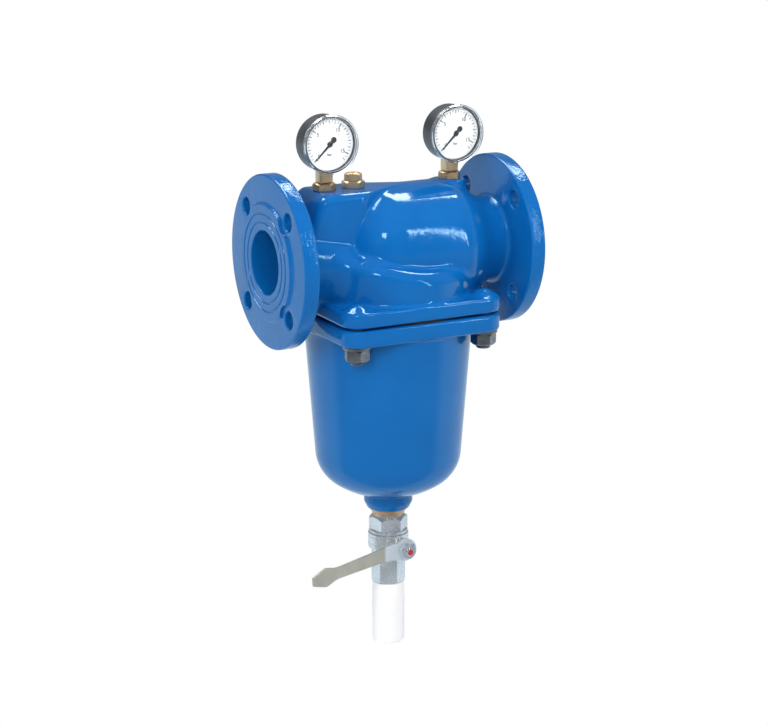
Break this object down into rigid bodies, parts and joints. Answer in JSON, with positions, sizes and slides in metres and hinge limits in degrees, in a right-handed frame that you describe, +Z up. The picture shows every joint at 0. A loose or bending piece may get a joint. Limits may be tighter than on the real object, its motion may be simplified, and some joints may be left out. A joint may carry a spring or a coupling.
{
  "type": "self cleaning backwash filter",
  "caption": "Flanged in-line water filter: cast blue head, hanging bowl with a backwash insert, pressure gauges, and a drain ball valve with lever and tube.",
  "frame": {"origin": "centre of the inlet flange face, on the pipe axis", "axes": "+X along the flow from inlet to outlet, +Z up, the dials and the drain lever face -Y"},
  "size_m": [0.29, 0.188, 0.5995],
  "materials": {
    "blue_enamel": "glossy enamel on cast iron",
    "seal_rubber": "black rubber",
    "dark_steel": "browned zinc",
    "brass": "turned brass",
    "bronze": "turned bronze",
    "nickel": "matt nickel plate",
    "zinc": "zinc plate",
    "lever_zinc": "yellowed zinc plate",
    "ball_chrome": "polished chrome",
    "white_plastic": "soft seat plastic",
    "tube_plastic": "white plastic",
    "insert_plastic": "moulded plastic",
    "impeller_plastic": "moulded plastic",
    "screen_steel": "stainless steel",
    "spring_steel": "spring steel",
    "gauge_case": "black gauge case",
    "gauge_dial": "white printed dial",
    "gauge_needle": "black needle",
    "gauge_window": "clear plastic window"
  },
  "bodies": {
    "filter": {"housing": "blue_enamel", "bowl": "blue_enamel", "bowl_seal": "seal_rubber", "bowl_studs": "dark_steel", "bowl_washers": "dark_steel", "bowl_nuts": "dark_steel", "plug_bush": "brass", "vent_plug": "brass", "drain_bush": "bronze", "valve_tailpiece": "nickel", "valve_body": "nickel", "valve_seats": "white_plastic", "stem_packing": "white_plastic", "gland_nut": "zinc", "drain_tube": "tube_plastic", "drain_guide": "insert_plastic", "return_spring": "spring_steel", "inlet_gauge_bush": "brass", "inlet_gauge_socket": "brass", "inlet_gauge_case": "gauge_case", "inlet_gauge_dial": "gauge_dial", "inlet_gauge_movement": "brass", "inlet_gauge_bourdon": "bronze", "inlet_gauge_window": "gauge_window", "outlet_gauge_bush": "brass", "outlet_gauge_socket": "brass", "outlet_gauge_case": "gauge_case", "outlet_gauge_dial": "gauge_dial", "outlet_gauge_movement": "brass", "outlet_gauge_bourdon": "bronze", "outlet_gauge_window": "gauge_window"},
    "drain_lever": {"lever": "lever_zinc", "lever_nut": "zinc", "valve_stem": "zinc", "valve_ball": "ball_chrome"},
    "inlet_needle": {"inlet_gauge_needle": "gauge_needle"},
    "outlet_needle": {"outlet_gauge_needle": "gauge_needle"},
    "filter_insert": {"insert_head": "insert_plastic", "insert_seals": "seal_rubber", "upper_screen": "screen_steel", "main_screen": "screen_steel", "screen_cage": "insert_plastic", "insert_base": "insert_plastic", "impeller_shaft": "screen_steel"},
    "spray_wheel": {"impeller": "impeller_plastic"}
  },
  "joints": [
    {"name": "drain_lever_turn", "type": "hinge", "parent": "filter", "child": "drain_lever", "pos_m": [0.145, 0, -0.3285], "axis": [0, -1, 0], "range_deg": [-3, 87]},
    {"name": "inlet_needle_turn", "type": "hinge", "parent": "filter", "child": "inlet_needle", "pos_m": [0.07, 0, 0.121], "axis": [0, 1, 0], "range_deg": [0, 270], "stiffness_Nm_per_rad": 0.0005, "springref_deg": -17.19},
    {"name": "outlet_needle_turn", "type": "hinge", "parent": "filter", "child": "outlet_needle", "pos_m": [0.22, 0, 0.121], "axis": [0, 1, 0], "range_deg": [0, 270], "stiffness_Nm_per_rad": 0.0005, "springref_deg": -17.19},
    {"name": "insert_slide", "type": "slide", "parent": "filter", "child": "filter_insert", "axis": [0, 0, -1], "range_m": [0, 0.012], "stiffness_N_per_m": 2500, "springref_m": -0.01, "deforming": ["return_spring"]},
    {"name": "spray_wheel_spin", "type": "hinge", "parent": "filter_insert", "child": "spray_wheel", "pos_m": [0.145, 0, -0.0738], "axis": [0, 0, 1], "continuous": true}
  ]
}
